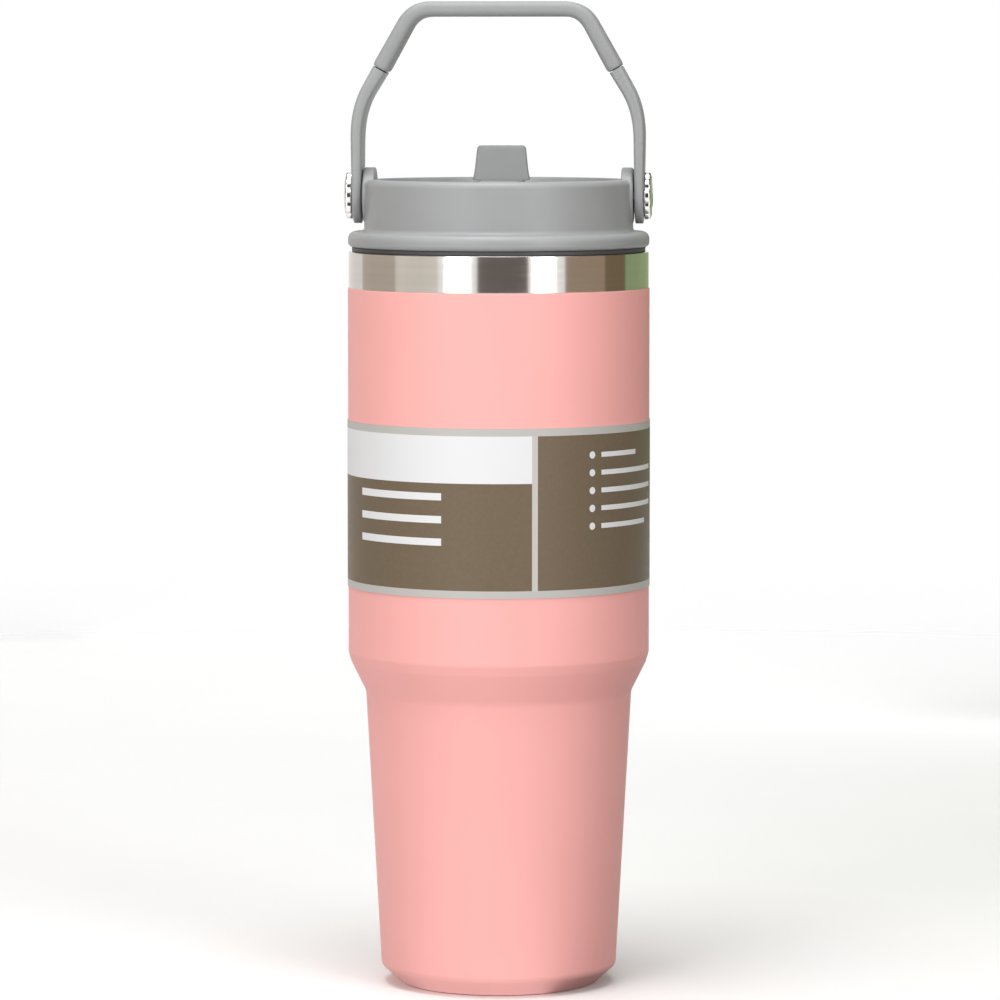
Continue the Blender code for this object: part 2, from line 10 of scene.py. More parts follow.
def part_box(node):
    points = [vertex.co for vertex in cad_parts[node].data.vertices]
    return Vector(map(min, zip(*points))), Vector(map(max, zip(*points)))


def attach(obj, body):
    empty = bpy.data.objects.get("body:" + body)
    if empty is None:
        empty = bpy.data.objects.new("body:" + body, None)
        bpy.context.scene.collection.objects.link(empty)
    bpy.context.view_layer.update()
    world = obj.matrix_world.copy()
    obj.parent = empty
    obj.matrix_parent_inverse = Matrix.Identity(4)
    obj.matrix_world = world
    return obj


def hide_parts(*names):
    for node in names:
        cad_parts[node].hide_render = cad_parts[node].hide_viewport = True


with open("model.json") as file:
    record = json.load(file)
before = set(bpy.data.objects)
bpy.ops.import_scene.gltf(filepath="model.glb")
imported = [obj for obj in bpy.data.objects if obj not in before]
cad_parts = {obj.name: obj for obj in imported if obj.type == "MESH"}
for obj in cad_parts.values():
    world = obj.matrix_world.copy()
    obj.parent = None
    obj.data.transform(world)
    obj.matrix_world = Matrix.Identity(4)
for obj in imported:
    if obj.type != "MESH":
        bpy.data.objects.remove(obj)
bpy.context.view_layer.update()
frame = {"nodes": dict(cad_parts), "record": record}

MM = 0.001
WELD = 0.000001
FULL_TURN = 2 * math.pi
BACK = math.pi / 2
FINE = 192
MEDIUM = 64
SHARP_ANGLE = math.radians(35)


def node_box(node):
    """A CAD node's lowest and highest corners at rest, in millimetres."""
    low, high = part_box(node)
    return Vector(low) / MM, Vector(high) / MM


# ---------------------------------------------------------------- sizes read from the frame

COAT_HIGH = node_box("powder_coat")[1]
SHELL_HIGH = node_box("outer_shell")[1]
LINER_HIGH = node_box("inner_liner")[1]
LABEL_LOW, LABEL_HIGH = node_box("label_sleeve")
LID_LOW, LID_HIGH = node_box("lid_shell")
PLUG_LOW, PLUG_HIGH = node_box("lid_plug")
HANDLE_HIGH = node_box("handle")[1]
SCREW_HIGH = node_box("pivot_screw_right")[1]
STRAW_LOW, STRAW_HIGH = node_box("straw")
JOINTS = {joint["name"]: joint for joint in frame["record"]["behaviour"]["joints"]}
PIVOT = Vector(JOINTS["handle_swing"]["pos_m"]) / MM
SPOUT = Vector(JOINTS["spout_flip"]["pos_m"]) / MM
BODY_R = COAT_HIGH.x
PAINT_TOP = COAT_HIGH.z


# ---------------------------------------------------------------- mesh tools

def finish_mesh(name, bm, mat):
    """Turn a bmesh in millimetres into a smooth-shaded object in metres."""
    bmesh.ops.remove_doubles(bm, verts=bm.verts, dist=WELD / MM)
    bmesh.ops.recalc_face_normals(bm, faces=bm.faces)
    bm.transform(Matrix.Scale(MM, 4))
    mesh = bpy.data.meshes.new(name)
    bm.to_mesh(mesh)
    bm.free()
    mesh.shade_smooth()
    mesh.set_sharp_from_angle(angle=SHARP_ANGLE)
    obj = bpy.data.objects.new(name, mesh)
    bpy.context.scene.collection.objects.link(obj)
    if mat is not None:
        mesh.materials.append(mat)
    return obj


def piece(name, bm, mat, body, replaced=()):
    """A finished piece that rides on a body and stands for CAD nodes."""
    obj = finish_mesh(name, bm, mat)
    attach(obj, body)
    if replaced:
        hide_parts(*replaced)
    return obj


def rounded(points, support=0.25):
    """Round the corners of a profile whose points are (r, z) or (r, z, corner radius).

    Each rounded corner becomes an arc, with a support point on either side that keeps
    the flat stretches flat in smooth shading.
    """
    result = []
    count = len(points)
    for i, (r, z, *radius) in enumerate(points):
        corner = Vector((r, z))
        if not radius or i in (0, count - 1) and r == 0.0:
            result.append(corner)
            continue
        before = (Vector(points[i - 1][:2]) - corner)
        after = (Vector(points[(i + 1) % count][:2]) - corner)
        angle = before.angle(after)
        reach = min(radius[0] / math.tan(angle / 2), 0.49 * before.length, 0.49 * after.length)
        start = corner + before.normalized() * reach
        end = corner + after.normalized() * reach
        true_radius = reach * math.tan(angle / 2)
        bisector = (before.normalized() + after.normalized()).normalized()
        centre = corner + bisector * (true_radius / math.sin(angle / 2))
        if before.length > 3 * (reach + support):
            result.append(start + before.normalized() * support)
        sweep = math.pi - angle
        steps = max(2, round(sweep / math.radians(15)))
        first = start - centre
        turn = math.copysign(sweep, first.cross(end - centre))
        for k in range(steps + 1):
            a = turn * k / steps
            rotated = Vector((first.x * math.cos(a) - first.y * math.sin(a),
                              first.x * math.sin(a) + first.y * math.cos(a)))
            result.append(centre + rotated)
        if after.length > 3 * (reach + support):
            result.append(end + after.normalized() * support)
    return [(max(0.0, p.x), p.y) for p in result]


def lathe(profile, segments=FINE):
    """Turn (r, z) points about Z into a solid. A profile that starts on the axis stays open there."""
    bm = bmesh.new()
    closed = profile[0][0] > 0.0
    rings = []
    for r, z in profile:
        if r == 0.0:
            rings.append([bm.verts.new((0.0, 0.0, z))])
            continue
        angles = [FULL_TURN * k / segments for k in range(segments)]
        rings.append([bm.verts.new((r * math.cos(a), r * math.sin(a), z)) for a in angles])
    pairs = list(zip(rings, rings[1:]))
    if closed:
        pairs.append((rings[-1], rings[0]))
    for one, two in pairs:
        for k in range(segments):
            n = (k + 1) % segments
            corners = [one[k % len(one)], one[n % len(one)], two[n % len(two)], two[k % len(two)]]
            unique = list(dict.fromkeys(corners))
            if len(unique) > 2:
                bm.faces.new(unique)
    return bm


def loft(rings):
    """Skin a row of point rings into a solid with flat ends."""
    bm = bmesh.new()
    rows = [[bm.verts.new(point) for point in ring] for ring in rings]
    for low, high in zip(rows, rows[1:]):
        for i in range(len(low)):
            j = (i + 1) % len(low)
            bm.faces.new((low[i], low[j], high[j], high[i]))
    bm.faces.new(reversed(rows[0]))
    bm.faces.new(rows[-1])
    return bm


def boolean(obj, operation, bm):
    """Join a tool shape to an object, or cut it away, and keep only the result."""
    tool = finish_mesh(f"{obj.name}_tool", bm, None)
    modifier = obj.modifiers.new(operation.title(), "BOOLEAN")
    modifier.operation = operation
    modifier.object = tool
    graph = bpy.context.evaluated_depsgraph_get()
    graph.update()
    mesh = bpy.data.meshes.new_from_object(obj.evaluated_get(graph))
    obj.modifiers.clear()
    obj.data = mesh
    bpy.data.objects.remove(tool, do_unlink=True)


def circle(radius, segments=MEDIUM):
    return [(radius * math.cos(a), radius * math.sin(a))
            for a in (FULL_TURN * k / segments for k in range(segments))]


def rod_x(radius, x_from, x_to, y=0.0, z=0.0, segments=MEDIUM):
    return loft([[(x, y + a, z + b) for a, b in circle(radius, segments)] for x in (x_from, x_to)])


def moved(bm, x, y):
    bm.transform(Matrix.Translation((x, y, 0.0)))
    return bm


def upright(radius, low, high, x, y):
    """A plain round rod along Z."""
    return moved(lathe([(0.0, low), (radius, low), (radius, high), (0.0, high)], MEDIUM), x, y)


def on_pivot(bm, side):
    """Turn a shape from the Z axis on to the handle's pivot axis, outwards on one side."""
    bm.transform(Matrix.Translation((0, 0, PIVOT.z)) @ Matrix.Rotation(side * math.pi / 2, 4, "Y"))
    return bm


def rounded_box(half_a, half_b, radius, per_corner=6):
    """A rounded rectangle of points, anticlockwise."""
    points = []
    for quarter, (sa, sb) in enumerate(((1, 1), (-1, 1), (-1, -1), (1, -1))):
        for k in range(per_corner + 1):
            a = math.pi / 2 * (quarter + k / per_corner)
            points.append((sa * (half_a - radius) + radius * math.cos(a),
                           sb * (half_b - radius) + radius * math.sin(a)))
    return points


def offset(points, distance):
    """Shift an open outline to its right-hand side, with mitred corners."""
    result = []
    for i, point in enumerate(points):
        here = Vector(point[:2])
        legs = []
        if i > 0:
            legs.append((here - Vector(points[i - 1][:2])).normalized())
        if i + 1 < len(points):
            legs.append((Vector(points[i + 1][:2]) - here).normalized())
        tangent = sum(legs, Vector((0.0, 0.0))).normalized()
        normal = Vector((tangent.y, -tangent.x))
        shifted = here + normal * (distance / tangent.dot(legs[0]))
        result.append((shifted.x, shifted.y, *point[2:]))
    return result


# ---------------------------------------------------------------- material tools

class Shader:
    """A Principled material with short calls for the nodes that feed it."""

    def __init__(self, name, color, roughness, metallic=0.0, **sockets):
        self.material = bpy.data.materials.new(name)
        self.material.use_nodes = True
        self.tree = self.material.node_tree
        self.bsdf = self.tree.nodes["Principled BSDF"]
        self.set("Base Color", (*color, 1.0))
        self.set("Roughness", roughness)
        self.set("Metallic", metallic)
        for socket, value in sockets.items():
            self.set(socket.replace("_", " "), value)
        self.place = self.add("ShaderNodeTexCoord").outputs["Object"]

    def set(self, socket, value):
        self.bsdf.inputs[socket].default_value = value

    def add(self, kind, **settings):
        node = self.tree.nodes.new(kind)
        for name, value in settings.items():
            setattr(node, name, value)
        return node

    def feed(self, source, target):
        self.tree.links.new(source, target)

    def math(self, operation, *values):
        node = self.add("ShaderNodeMath", operation=operation)
        for socket, value in zip(node.inputs, values):
            if isinstance(value, (int, float)):
                socket.default_value = value
            else:
                self.feed(value, socket)
        return node.outputs["Value"]

    def noise(self, scale, detail=2.0, stretch=(1.0, 1.0, 1.0), roughness=0.5):
        mapping = self.add("ShaderNodeMapping")
        mapping.inputs["Scale"].default_value = stretch
        self.feed(self.place, mapping.inputs["Vector"])
        node = self.add("ShaderNodeTexNoise")
        node.inputs["Scale"].default_value = scale
        node.inputs["Detail"].default_value = detail
        node.inputs["Roughness"].default_value = roughness
        self.feed(mapping.outputs["Vector"], node.inputs["Vector"])
        return node.outputs["Fac"]

    def spread(self, value, low, high, from_low=0.3, from_high=0.7):
        """Stretch a noise value to the range low to high."""
        node = self.add("ShaderNodeMapRange")
        ends = {"From Min": from_low, "From Max": from_high, "To Min": low, "To Max": high}
        for socket, number in ends.items():
            node.inputs[socket].default_value = number
        self.feed(value, node.inputs["Value"])
        return node.outputs["Result"]

    def blend(self, factor, one, two):
        """Mix two colours, each a colour tuple or a socket."""
        node = self.add("ShaderNodeMix", data_type="RGBA")
        self.feed(factor, node.inputs["Factor"])
        for socket, value in ((node.inputs[6], one), (node.inputs[7], two)):
            if isinstance(value, tuple):
                socket.default_value = (*value, 1.0)
            else:
                self.feed(value, socket)
        return node.outputs[2]

    def color(self, source):
        self.feed(source, self.bsdf.inputs["Base Color"])

    def rough(self, source):
        self.feed(source, self.bsdf.inputs["Roughness"])

    def bump(self, height, strength, depth_mm, after=None):
        node = self.add("ShaderNodeBump")
        node.inputs["Strength"].default_value = strength
        node.inputs["Distance"].default_value = depth_mm * MM
        self.feed(height, node.inputs["Height"])
        if after is not None:
            self.feed(after, node.inputs["Normal"])
        self.feed(node.outputs["Normal"], self.bsdf.inputs["Normal"])
        return node.outputs["Normal"]


def shade(color, factor):
    return tuple(min(1.0, channel * factor) for channel in color)


def varied(shader, color, noise, depth=0.04):
    """Let a colour drift a little lighter and darker with a noise."""
    drift = shader.spread(noise, 0.0, 1.0)
    shader.color(shader.blend(drift, shade(color, 1 - depth), shade(color, 1 + depth)))


# ---------------------------------------------------------------- materials

PINK = (0.955, 0.445, 0.420)
GREY = (0.335, 0.340, 0.345)
STEEL = (0.700, 0.670, 0.640)
POLISHED = (0.80, 0.79, 0.78)
STRAW_WHITE = (0.86, 0.87, 0.87)
SILICONE_GREY = (0.400, 0.405, 0.410)
# Painted shade: the plug is near-black so that the gap under the lid's flange reads as a dark shadow line
PLUG_PAINTED_SHADE = (0.070, 0.070, 0.072)
BRASS = (0.71, 0.55, 0.26)
NYLON = (0.80, 0.80, 0.77)
SOLDER = (0.45, 0.44, 0.42)
GETTER = (0.50, 0.47, 0.43)
TAUPE = (0.172, 0.129, 0.085)
PAPER_WHITE = (0.790, 0.790, 0.800)
DIVIDER_GREY = (0.570, 0.545, 0.500)
SILVER = (0.520, 0.505, 0.480)


def powder_coat_material():
    shader = Shader("pink_powder_coat", PINK, 0.5, Specular_IOR_Level=0.35)
    varied(shader, PINK, shader.noise(40.0, 3.0), 0.015)
    grain = shader.noise(1500.0, 2.0)
    shader.rough(shader.spread(shader.noise(300.0, 2.0), 0.46, 0.56))
    soft = shader.bump(shader.noise(220.0, 1.0), 0.10, 0.05)
    shader.bump(grain, 0.22, 0.05, after=soft)
    return shader.material


def brushed_steel_material():
    """Steel brushed round the axis: fine level lines, with highlights drawn out up and down."""
    roughness = 0.14
    shader = Shader("brushed_steel", STEEL, roughness, 1.0, Anisotropic=0.8, Anisotropic_Rotation=0.25)
    tangent = shader.add("ShaderNodeTangent", direction_type="RADIAL", axis="Z")
    shader.feed(tangent.outputs["Tangent"], shader.bsdf.inputs["Tangent"])
    lines = shader.noise(1.0, 3.0, (25.0, 25.0, 9000.0))
    broad = shader.noise(1.0, 2.0, (8.0, 8.0, 900.0))
    varied(shader, STEEL, broad, 0.03)
    shader.rough(shader.spread(lines, roughness - 0.03, roughness + 0.05))
    shader.bump(lines, 0.05, 0.01)
    return shader.material


def polished_steel_material():
    shader = Shader("polished_steel", POLISHED, 0.09, 1.0)
    varied(shader, POLISHED, shader.noise(600.0, 2.0), 0.02)
    shader.rough(shader.spread(shader.noise(900.0, 3.0), 0.06, 0.13))
    shader.bump(shader.noise(2500.0, 1.0), 0.02, 0.01)
    return shader.material


def moulded_material(name, color, roughness=0.42, grain=1400.0, strength=0.12):
    """Matte moulded plastic with a fine spark-eroded grain."""
    shader = Shader(name, color, roughness, Specular_IOR_Level=0.45)
    varied(shader, color, shader.noise(70.0, 3.0), 0.025)
    shader.rough(shader.spread(shader.noise(500.0, 2.0), roughness - 0.04, roughness + 0.05))
    soft = shader.bump(shader.noise(120.0, 1.0), 0.05, 0.05)
    shader.bump(shader.noise(grain, 2.0), strength, 0.03, after=soft)
    return shader.material


def silicone_material():
    shader = Shader("silicone", SILICONE_GREY, 0.5, Sheen_Weight=0.08, Specular_IOR_Level=0.4)
    varied(shader, SILICONE_GREY, shader.noise(90.0, 2.0), 0.02)
    shader.rough(shader.spread(shader.noise(400.0, 2.0), 0.46, 0.58))
    shader.bump(shader.noise(900.0, 2.0), 0.06, 0.03)
    return shader.material


def metal_material(name, color, roughness):
    """Plain machined or cast metal for the small hidden pieces."""
    shader = Shader(name, color, roughness, 1.0)
    varied(shader, color, shader.noise(350.0, 3.0), 0.06)
    shader.rough(shader.spread(shader.noise(700.0, 2.0), roughness - 0.06, roughness + 0.08))
    shader.bump(shader.noise(1800.0, 2.0), 0.08, 0.02)
    return shader.material


def straw_material():
    shader = Shader("frosted_straw", STRAW_WHITE, 0.32, Transmission_Weight=0.35)
    varied(shader, STRAW_WHITE, shader.noise(60.0, 2.0), 0.01)
    shader.rough(shader.spread(shader.noise(300.0, 2.0), 0.28, 0.38))
    shader.bump(shader.noise(1.0, 1.0, (1500.0, 1500.0, 30.0)), 0.04, 0.02)
    return shader.material


# Label artwork: heights in millimetres, angles in degrees round from the front, to the right
LABEL_EDGE = 2.3
WHITE_LOW = 158.4
WHITE_START = -150.0
DIVIDER = (15.9, 18.1)
BAR_HEIGHTS = (154.3, 147.4, 140.6)
BAR_ENDS = (-59.5, -18.3)
BAR_HEIGHT = 2.2
DOT_ANGLE = 40.8
DOT_TOP = 166.5
DOT_STEP = 5.4
DOT_R = 1.1
LINE_HEIGHT = 1.5
LINE_START = 45.2
LINE_ENDS = (66.7, 84.0, 84.0, 84.0, 76.0)


def label_material():
    """Printed card: a silver border, a white panel, taupe panels, and plain bars and dots for words."""
    shader = Shader("label_card", TAUPE, 0.45, Specular_IOR_Level=0.15)
    axes = shader.add("ShaderNodeSeparateXYZ")
    shader.feed(shader.place, axes.inputs["Vector"])
    height = shader.math("DIVIDE", axes.outputs["Z"], MM)
    across = shader.math("ARCTAN2", axes.outputs["X"], shader.math("MULTIPLY", axes.outputs["Y"], -1.0))
    angle = shader.math("MULTIPLY", across, 360.0 / FULL_TURN)

    def both(one, two):
        return shader.math("MULTIPLY", one, two)

    def between(value, low, high):
        return both(shader.math("GREATER_THAN", value, low), shader.math("LESS_THAN", value, high))

    def row(z, tall, ends):
        return both(between(height, z - tall / 2, z + tall / 2), between(angle, *ends))

    def either(one, two):
        return shader.math("MAXIMUM", one, two)

    low, high = LABEL_LOW.z, LABEL_HIGH.z
    fibre = shader.noise(900.0, 3.0)
    field = shader.blend(shader.spread(fibre, 0.0, 1.0), shade(TAUPE, 0.96), shade(TAUPE, 1.05))
    printed = both(between(angle, WHITE_START, DIVIDER[0]), between(height, WHITE_LOW, high))
    for z in BAR_HEIGHTS:
        printed = either(printed, row(z, BAR_HEIGHT, BAR_ENDS))
    mm_per_degree = LABEL_HIGH.x * FULL_TURN / 360.0
    for number, line_end in enumerate(LINE_ENDS):
        z = DOT_TOP - DOT_STEP * number
        side = shader.math("MULTIPLY", shader.math("SUBTRACT", angle, DOT_ANGLE), mm_per_degree)
        rise = shader.math("SUBTRACT", height, z)
        distance = shader.math("SQRT", shader.math("ADD", both(side, side), both(rise, rise)))
        printed = either(printed, shader.math("LESS_THAN", distance, DOT_R))
        printed = either(printed, row(z, LINE_HEIGHT, (LINE_START, line_end)))
    art = shader.blend(between(angle, *DIVIDER), shader.blend(printed, field, PAPER_WHITE), DIVIDER_GREY)
    border = shader.math("SUBTRACT", 1.0, between(height, low + LABEL_EDGE, high - LABEL_EDGE))
    shader.color(shader.blend(border, art, SILVER))
    shader.rough(shader.spread(fibre, 0.36, 0.46))
    shader.bump(fibre, 0.05, 0.02)
    return shader.material


# ---------------------------------------------------------------- vessel

VESSEL_STEPS = 256
COAT_T = 0.35
SHELL_INSET = 0.4
SHELL_T = 0.5
BAND_GAP = 0.15
LINER_INSET = 4.2
LINER_T = 0.5
LINER_BASE_Z = 8.7
LINER_FLOOR_Z = 9.3
LIP_T = 1.2
LIP_REACH = 0.1
THREAD_Z = (212.0, 222.0)
THREAD_ROWS = 50
THREAD_PITCH = 4.0
THREAD_SHARPNESS = 0.8
LINER_THREAD = -0.5
PLUG_THREAD = 0.8
LABEL_GAP = 0.06
LABEL_T = 0.16
LABEL_LAP = math.radians(9.0)
LABEL_LAP_GAP = 0.03
LABEL_STEPS = 264


def wall_outline():
    """The painted side from the foot's chamfer to the paint's top edge, as (r, z, corner radius)."""
    return [(30.2, 0.2, 0.2), (36.4, 5.4, 2.6), (41.1, 90.9, 4.0), (45.6, 100.0, 4.5),
            (BODY_R, 103.0, 3.0), (BODY_R, PAINT_TOP, 0.15)]


def make_vessel(coat, steel):
    outline = wall_outline()
    skin = rounded(outline + offset(outline, -COAT_T)[::-1])
    piece("coat", lathe(skin, VESSEL_STEPS), coat, "vessel", ["powder_coat"])
    band_r = SHELL_HIGH.x
    outer_r = BODY_R - SHELL_INSET
    inner_r = outer_r - SHELL_T
    outside = offset(outline, -SHELL_INSET)[:-1]
    inside = offset(outline, -SHELL_INSET - SHELL_T)[:-1]
    top = SHELL_HIGH.z
    start = PAINT_TOP + BAND_GAP
    band = [(outer_r, start - 0.3), (band_r, start, 0.1), (band_r, top, 0.2), (band_r - SHELL_T, top, 0.2),
            (band_r - 0.6, start + 0.3)]
    foot = [(29.0, 0.8), (27.2, 0.8, 0.3), (26.8, 3.0), (26.0, 3.0, 0.2), (26.5, 0.0, 0.4)]
    shell = [(29.4, 0.0, 0.5), *outside, *band, (inner_r, start - 0.5), *inside[::-1], *foot]
    piece("shell", lathe(rounded(shell), VESSEL_STEPS), steel, "vessel", ["outer_shell"])


def raise_thread(bm, radius, height):
    """Push the wall at `radius` in or out along a right-handed helix that fades at both ends."""
    low, high = THREAD_Z
    for vert in bm.verts:
        flat = Vector((vert.co.x, vert.co.y))
        if abs(flat.length - radius) > WELD / MM or not low < vert.co.z < high:
            continue
        turn = math.atan2(flat.y, flat.x) / FULL_TURN
        wave = max(0.0, math.cos(FULL_TURN * (vert.co.z / THREAD_PITCH - turn)))
        fade = min(1.0, (vert.co.z - low) / THREAD_PITCH, (high - vert.co.z) / THREAD_PITCH)
        vert.co.xy = flat * (1.0 + height * fade * wave ** THREAD_SHARPNESS / radius)


def thread_rows(radius):
    low, high = THREAD_Z
    return [(radius, low + (high - low) * k / THREAD_ROWS) for k in range(THREAD_ROWS + 1)]


def make_liner(steel):
    """The inner cup with its rolled thread and the bright lip inside the shell's edge."""
    lip_r = LINER_HIGH.x + LIP_REACH
    top = LINER_HIGH.z
    seam = top - LIP_T
    bore = BODY_R - LINER_INSET - LINER_T
    outline = wall_outline()[1:-1]
    inside = offset(outline, -LINER_INSET - LINER_T)[1:]
    outside = offset(outline, -LINER_INSET)[1:]
    floor_out = [(0.0, LINER_BASE_Z), (29.0, LINER_BASE_Z, 5.0), (32.2, 14.0, 8.0)]
    floor_in = [(31.7, 14.2, 8.0), (28.6, LINER_FLOOR_Z, 5.0), (0.0, LINER_FLOOR_Z)]
    lip = [(bore + 0.5, seam, 0.2), (lip_r, seam, 0.2), (lip_r, top, 0.15), (bore, top, 0.6)]
    middle = thread_rows(bore)[::-1]
    before = rounded([*floor_out, *outside, *lip, middle[0]])[:-1]
    after = rounded([middle[-1], *inside[::-1], *floor_in])[1:]
    bm = lathe(before + middle + after)
    raise_thread(bm, bore, LINER_THREAD)
    piece("liner", bm, steel, "vessel", ["inner_liner"])


def make_label(card):
    """One turn of card that laps over itself at the back."""
    low, high = LABEL_LOW.z, LABEL_HIGH.z
    inner = BODY_R + LABEL_GAP
    rings = []
    for k in range(LABEL_STEPS + 1):
        a = BACK + (FULL_TURN + LABEL_LAP) * k / LABEL_STEPS
        past = k / LABEL_STEPS * (FULL_TURN + LABEL_LAP) - FULL_TURN + LABEL_LAP
        over = min(1.0, max(0.0, past / LABEL_LAP))
        r = inner + (LABEL_T + LABEL_LAP_GAP) * over * over * (3 - 2 * over)
        ring = [(r, low), (r + LABEL_T, low), (r + LABEL_T, high), (r, high)]
        rings.append([(q * math.cos(a), q * math.sin(a), z) for q, z in ring])
    piece("label", loft(rings), card, "vessel", ["label_sleeve"])


def make_base(steel):
    low, high = node_box("base_cover")
    r = high.x
    profile = [(0.0, 0.9), (13.0, 0.9), (14.0, low.z, 0.5), (22.0, low.z, 0.4), (22.6, 0.8, 0.4),
               (r, 0.8, 0.2), (r, high.z, 0.1), (0.0, high.z)]
    piece("base_disc", lathe(rounded(profile)), steel, "vessel", ["base_cover"])


# ---------------------------------------------------------------- lid

DECK_Z = 241.5
DECK_UNDER_Z = 239.3
FLANGE_TOP = 232.9
LID_R = 41.4
LID_BORE_R = 39.2
RIM_DROP = 3.7
BOSS_R = 8.7
BOSS_X = (37.9, 41.6)
BORE_X = (38.6, 44.0)
SHOULDER_BORE_R = 3.5
PIN_BORE_R = 1.4
PORT_R = 5.8
VENT_XY = (15.0, 17.0)
VENT_HOLE_R = 2.3
HOLE_Z = (237.0, 243.0)
EAR_R = 2.6
EAR_X = (7.5, 9.8)
EAR_EDGES = ((0.0, 0.3), (0.1, 0.1), (0.4, 0.0))
PLUG_R = 40.1
PLUG_BORE_R = 36.9
PLUG_TOP_Z = 233.5
PLUG_FLOOR_T = 2.0
SPIGOT_R = 38.9
LEDGE_GAP = 0.1
TUBE_R = 8.2
TUBE_BORE_R = 6.3
TUBE_TOP_Z = 236.7
FLUTES = 10
FLUTE_DEPTH = 0.09
FLUTE_START_R = 4.2


def make_lid(plastic):
    rim = LID_HIGH.z - RIM_DROP
    flange_r = LID_HIGH.x
    low = LID_LOW.z
    profile = [(0.0, DECK_Z), (32.0, DECK_Z, 3.0), (37.6, rim, 1.2), (LID_R, rim, 3.0),
               (LID_R, FLANGE_TOP, 1.2), (flange_r, FLANGE_TOP, 2.2), (flange_r, low, 1.5),
               (LID_BORE_R, low, 0.4), (LID_BORE_R, 245.0, 1.0), (37.2, 245.0, 1.0),
               (33.4, DECK_UNDER_Z, 1.5), (0.0, DECK_UNDER_Z)]
    inner, outer = BOSS_X
    bore_in, bore_out = BORE_X
    lid = piece("lid_top", lathe(rounded(profile)), plastic, "lid", ["lid_shell"])
    for side in (-1, 1):
        boss = rounded([(0.0, inner), (BOSS_R, inner, 0.5), (BOSS_R, outer, 0.9), (0.0, outer)])
        boolean(lid, "UNION", on_pivot(lathe(boss, 96), side))
        boolean(lid, "UNION", spout_ear(side))
        boolean(lid, "DIFFERENCE", rod_x(SHOULDER_BORE_R, side * bore_in, side * bore_out, z=PIVOT.z))
        boolean(lid, "DIFFERENCE", rod_x(PIN_BORE_R, side * 7.0, side * 11.0, SPOUT.y, SPOUT.z))
    boolean(lid, "DIFFERENCE", upright(PORT_R, *HOLE_Z, 0.0, SPOUT.y))
    boolean(lid, "DIFFERENCE", upright(VENT_HOLE_R, *HOLE_Z, *VENT_XY))
    lid.data.set_sharp_from_angle(angle=SHARP_ANGLE)
    return lid


def spout_ear(side):
    """An upright lug with a round top and softened edges that carries one of the spout's pins."""
    steps = 24
    arch = [(SPOUT.y + EAR_R * math.cos(a), SPOUT.z + EAR_R * math.sin(a))
            for a in (math.pi * k / steps for k in range(steps + 1))]
    outline = arch + [(SPOUT.y - EAR_R, DECK_Z - 0.5), (SPOUT.y + EAR_R, DECK_Z - 0.5)]
    centre = Vector((SPOUT.y, SPOUT.z))
    inner, outer = EAR_X
    faces = [(inner + step, inset) for step, inset in EAR_EDGES]
    faces += [(outer - step, inset) for step, inset in reversed(EAR_EDGES)]
    rings = []
    for x, inset in faces:
        ring = []
        for y, z in outline:
            away = (Vector((y, z)) - centre).normalized() * inset
            ring.append((side * x, y - away.x, z - away.y if z > DECK_Z else z))
        rings.append(ring)
    return loft(rings)


def make_plug(plastic):
    """The threaded lower half of the lid."""
    floor = PLUG_LOW.z
    inner_floor = floor + PLUG_FLOOR_T
    top = PLUG_TOP_Z
    ledge_r = PLUG_HIGH.x
    ledge_top = LID_LOW.z - LEDGE_GAP
    ledge_low = SHELL_HIGH.z + LEDGE_GAP
    upper = rounded([(PLUG_BORE_R, top, 0.3), (SPIGOT_R, top, 0.3), (SPIGOT_R, ledge_top),
                     (ledge_r, ledge_top, 0.1), (ledge_r, ledge_low, 0.1), (PLUG_R, ledge_low, 0.3),
                     (PLUG_R, THREAD_Z[1])])[:-1]
    lower = rounded([(PLUG_R, THREAD_Z[0]), (PLUG_R, 210.2, 0.4), (39.0, 210.0, 0.3), (39.0, 205.6, 0.3),
                     (PLUG_R, 205.2, 0.4), (39.3, floor, 0.8), (0.0, floor)])[1:]
    inside = rounded([(0.0, inner_floor), (PLUG_BORE_R, inner_floor, 1.5), (PLUG_BORE_R, top)])[:-1]
    bm = lathe([*inside, *upper, *thread_rows(PLUG_R)[::-1], *lower])
    raise_thread(bm, PLUG_R, PLUG_THREAD)
    plug = piece("plug", bm, plastic, "lid", ["lid_plug"])
    boolean(plug, "UNION", upright(TUBE_R, floor + 1.0, TUBE_TOP_Z, 0.0, SPOUT.y))
    boolean(plug, "DIFFERENCE", upright(TUBE_BORE_R, floor - 1.0, 240.0, 0.0, SPOUT.y))
    plug.data.set_sharp_from_angle(angle=SHARP_ANGLE)


def make_seals(silicone):
    low, middle, high = 205.95, 207.8, 209.65
    gasket = rounded([(39.5, low), (40.9, low, 0.5), (40.4, middle, 0.4), (40.9, high, 0.5), (39.5, high)])
    piece("gasket", lathe(gasket), silicone, "lid_seal", ["lid_gasket"])
    coupler = rounded([(4.3, 201.0, 0.3), (7.6, 201.0, 0.6), (7.6, 202.7, 0.3), (6.0, 202.7, 0.2),
                       (6.0, 236.4, 0.3), (2.0, 236.4), (2.0, 214.3), (4.3, 214.3)])
    bm = moved(lathe(coupler, MEDIUM), 0.0, SPOUT.y)
    piece("coupler", bm, silicone, "lid", ["straw_coupler"])
    vent = rounded([(0.0, 243.0), (2.6, 243.0, 0.7), (3.4, 241.8, 0.2), (2.0, 241.8), (2.0, 238.9),
                    (3.0, 238.9, 0.4), (1.8, 236.2, 0.6), (0.0, 236.2)])
    piece("vent", moved(lathe(vent, MEDIUM), *VENT_XY), silicone, "lid", ["vent_valve"])


